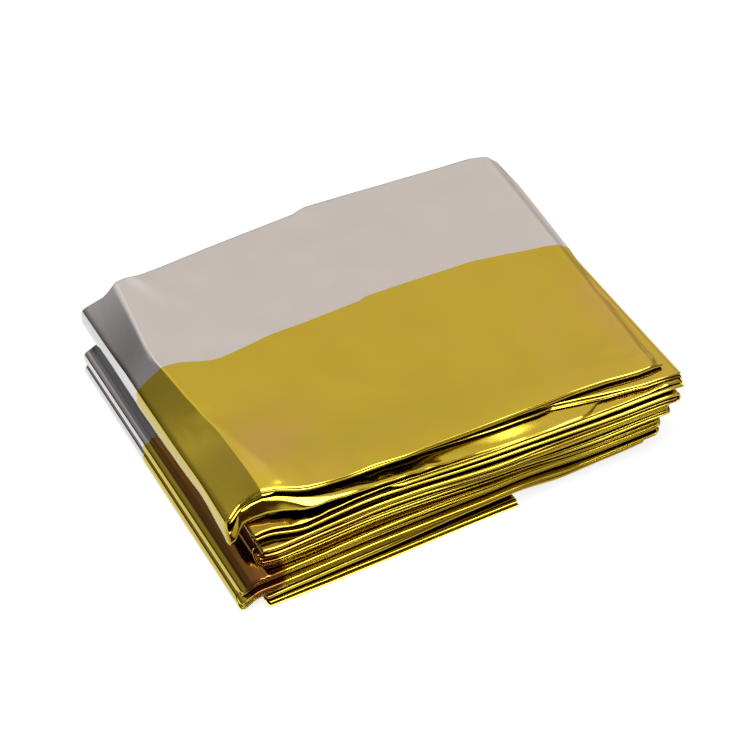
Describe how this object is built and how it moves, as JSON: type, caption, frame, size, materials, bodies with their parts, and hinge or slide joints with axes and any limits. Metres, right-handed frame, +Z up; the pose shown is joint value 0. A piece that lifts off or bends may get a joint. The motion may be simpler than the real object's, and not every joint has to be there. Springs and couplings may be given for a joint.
{
  "type": "folded emergency foil blanket",
  "caption": "Thin metallised film blanket, gold on one side and silver on the other, pleated and folded back and forth into a flat pack.",
  "frame": {"origin": "centre of the box around the pack, on the surface it lies on", "axes": "+X along the pack's long side, towards the staggered ends of the layers; +Y from the fanned front edges to the back; +Z up"},
  "size_m": [0.1298, 0.1088, 0.025],
  "materials": {
    "metallised_film": "mirror-like metallised film, gold on one face and silver on the other, finely creased"
  },
  "bodies": {
    "root": {"foil_blanket": "metallised_film"}
  },
  "joints": []
}
